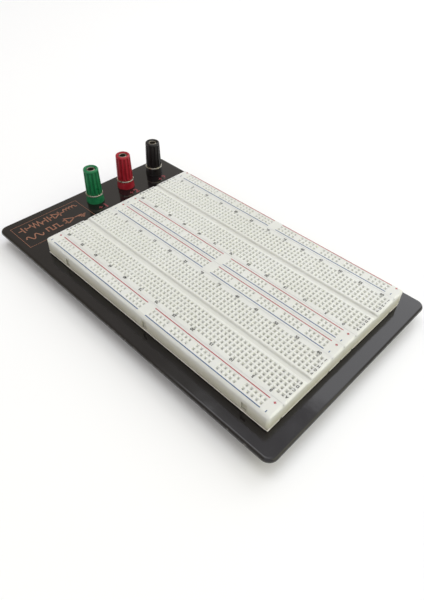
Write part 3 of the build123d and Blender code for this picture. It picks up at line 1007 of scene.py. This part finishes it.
def stud_rings(x, y, low, seat, high):
    """Sections of the stud from the foot of its shank, over its flange and barrel, into its bore."""

    def ring(z, radius):
        points = []
        for index in range(STUD_SEGMENTS):
            angle = 2 * math.pi * index / STUD_SEGMENTS
            here = radius(z, angle) if callable(radius) else radius
            points.append((x + here * math.cos(angle), y + here * math.sin(angle), z))
        return points

    def shank(z, angle):
        return threaded(z - low, angle, SHANK_RADIUS, 0.32 * MM, SHANK_THREAD)

    def barrel(z, angle):
        return threaded(z - seat, angle, BARREL_RADIUS, 0.36 * MM, THREAD)

    flange = seat - FLANGE_HEIGHT
    foot, head = low + 0.3 * MM, flange - 1.0 * MM
    steps = int((head - foot) / (SHANK_THREAD / 7))
    rings = [ring(low, SHANK_RADIUS - 0.4 * MM)]
    rings += [ring(foot + (head - foot) * step / steps, shank) for step in range(steps + 1)]
    rings += [ring(head + 0.2 * MM, SHANK_RADIUS), ring(flange, SHANK_RADIUS)]
    corner, blunted = hexagon(FLANGE_FLATS), hexagon(FLANGE_FLATS - 0.3 * MM)
    rings += [ring(flange, blunted), ring(flange + 0.12 * MM, corner)]
    rings += [ring(seat - 0.12 * MM, corner), ring(seat, blunted)]
    foot, head = seat + 0.3 * MM, high - 0.6 * MM
    steps = int((head - foot) / (THREAD / 8))
    rings.append(ring(seat, BARREL_RADIUS - 0.05 * MM))
    rings += [ring(foot + (head - foot) * step / steps, barrel) for step in range(steps + 1)]
    rings += [ring(high - 0.5 * MM, BARREL_RADIUS - 0.1 * MM), ring(high, BARREL_RADIUS - 0.6 * MM)]
    rings += [ring(high, JACK_RADIUS + 0.12 * MM), ring(high - 0.12 * MM, JACK_RADIUS)]
    bottom = high - JACK_DEPTH
    return rings + [ring(bottom, JACK_RADIUS), ring(bottom - 0.01 * MM, 0.8 * MM)]


def stud_piece(colour):
    """Threaded barrel with the plug's bore and a cross hole, on a hexagonal flange and threaded shank."""
    node = colour + "_post_stud"
    low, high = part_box(node)
    x, y = (low.x + high.x) / 2, (low.y + high.y) / 2
    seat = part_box(colour + "_post_collar")[1].z
    shell = Shell()
    tube(shell, stud_rings(x, y, low.z, seat, high.z))
    blank = shell.build("blank", stud_metal, 40)
    turns = [2 * math.pi * index / 32 for index in range(32)]
    rim = [(x + WIRE_HOLE * math.cos(t), seat + WIRE_RISE + WIRE_HOLE * math.sin(t)) for t in turns]
    drill_shell = Shell()
    tube(drill_shell, [[(px, y + reach, pz) for px, pz in rim] for reach in (-DRILL_REACH, DRILL_REACH)])
    cutter = drill_shell.build("cutter", stud_metal)
    drill = blank.modifiers.new("wire hole", "BOOLEAN")
    drill.operation = "DIFFERENCE"
    drill.solver = "EXACT"
    drill.object = cutter
    bpy.context.view_layer.update()
    drilled = bpy.data.meshes.new_from_object(blank.evaluated_get(bpy.context.evaluated_depsgraph_get()))
    for spare in (blank, cutter):
        mesh = spare.data
        bpy.data.objects.remove(spare)
        bpy.data.meshes.remove(mesh)
    drilled.materials.clear()
    piece = place(colour + "_threaded_stud", drilled, stud_metal, 40)
    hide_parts(node)
    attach(piece, "base")


for colour in COLOURS:
    cap_piece(colour)
    stud_piece(colour)

# ---------------- finishes on the CAD's own solids
def refinish(node, material, rounding=None):
    """Give a CAD node its material, and take the sharpness off its edges."""
    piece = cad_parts[node]
    piece.data.materials.clear()
    piece.data.materials.append(material)
    if rounding:
        bevel(piece, rounding, 2, angle=40)


refinish("base_plate", plate_enamel)
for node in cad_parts:
    if "_clips_" in node:
        refinish(node, clip_metal)
for colour in COLOURS:
    post = colour + "_post_"
    refinish(post + "collar", plastics[colour])
    refinish(post + "lower_bush", plastics[colour])
    refinish(post + "washer", turned_metal, 0.1 * MM)
    refinish(post + "insert", turned_metal)
    refinish(post + "lock_washer", steel, 0.05 * MM)
    refinish(post + "nuts", steel, 0.15 * MM)
    refinish(post + "lug", steel, 0.08 * MM)

# ---------------- floor, light and camera
FLOOR_SIZE = 8.0
SOFT_BOX_DISTANCE = 1.6
WARM = (1.0, 1.0, 0.74)
COOL = (0.96, 0.98, 1.0)
WALL_DIRECTION = (-0.94, -0.34, 0.0)
WALL_COLOURS = (
    (0.0, (0.64, 0.62, 0.48)),
    (0.33, (0.92, 0.93, 0.98)),
    (0.53, (0.92, 0.92, 0.97)),
    (0.66, (0.60, 0.58, 0.53)),
    (0.74, (0.60, 0.57, 0.52)),
    (0.84, (0.46, 0.42, 0.36)),
    (1.0, (0.42, 0.38, 0.28)),
)
LENS = 29.71
SENSOR = 36
CAMERA_PLACE = Vector((0.1540, -0.1506, 0.1952))
CAMERA_AIM = Vector((0.0330, -0.0223, 0.0205))
CAMERA_ROLL = math.radians(1.78)


def floor_finish():
    finish = Finish("studio_floor", (0.92, 0.92, 0.93), 0.75)
    tone = finish.ramp(finish.noise(3.0), 0.3, 0.7)
    finish.colour(finish.blend(tone, (0.915, 0.915, 0.93), (0.925, 0.925, 0.94)))
    return finish.material


def studio_floor():
    shell = Shell()
    shell.face(square(0.0, 0.0, FLOOR_SIZE, 0.0))
    shell.build("floor", floor_finish())


def soft_box(name, size, azimuth, elevation, power, colour):
    """Square area light that faces the origin; azimuth counts from +X towards +Y, in degrees."""
    light = bpy.data.lights.new(name, "AREA")
    light.shape = "SQUARE"
    light.size = size
    light.energy = power
    light.color = colour
    lamp = bpy.data.objects.new(name, light)
    bpy.context.scene.collection.objects.link(lamp)
    turn, rise = math.radians(azimuth), math.radians(elevation)
    away = Vector((math.cos(turn) * math.cos(rise), math.sin(turn) * math.cos(rise), math.sin(rise)))
    lamp.location = away * SOFT_BOX_DISTANCE
    lamp.rotation_mode = "QUATERNION"
    lamp.rotation_quaternion = away.to_track_quat("Z", "Y")


def studio_world():
    """Pale surroundings: brightest behind the board, dimmer and warmer towards -X and the camera."""
    world = bpy.data.worlds.new("studio")
    bpy.context.scene.world = world
    world.use_nodes = True
    nodes, links = world.node_tree.nodes, world.node_tree.links
    facing = nodes.new("ShaderNodeVectorMath")
    facing.operation = "DOT_PRODUCT"
    facing.inputs[1].default_value = WALL_DIRECTION
    links.new(nodes.new("ShaderNodeTexCoord").outputs["Generated"], facing.inputs[0])
    share = nodes.new("ShaderNodeMapRange")
    share.inputs["From Min"].default_value = -1.0
    links.new(facing.outputs["Value"], share.inputs["Value"])
    wall = nodes.new("ShaderNodeValToRGB")
    wall.color_ramp.interpolation = "EASE"
    stops = wall.color_ramp.elements
    while len(stops) < len(WALL_COLOURS):
        stops.new(1.0)
    for stop, (position, colour) in zip(stops, WALL_COLOURS):
        stop.position = position
        stop.color = (*colour, 1)
    links.new(share.outputs["Result"], wall.inputs["Fac"])
    links.new(wall.outputs["Color"], nodes["Background"].inputs["Color"])


studio_floor()
studio_world()
soft_box("overhead", 0.9, 165, 79, 5.0, COOL)
soft_box("back", 1.0, 94, 40, 4.8, COOL)
soft_box("right", 1.4, 14, 32, 6.5, WARM)

camera = bpy.data.cameras.new("camera")
camera.lens = LENS
camera.sensor_width = SENSOR
camera.sensor_fit = "AUTO"
camera.clip_start = 0.01
viewer = bpy.data.objects.new("camera", camera)
bpy.context.scene.collection.objects.link(viewer)
viewer.location = CAMERA_PLACE
aim = (CAMERA_PLACE - CAMERA_AIM).to_track_quat("Z", "Y")
viewer.rotation_mode = "QUATERNION"
viewer.rotation_quaternion = aim @ Quaternion((0, 0, 1), CAMERA_ROLL)
bpy.context.scene.camera = viewer
bpy.context.scene.view_settings.view_transform = "Standard"
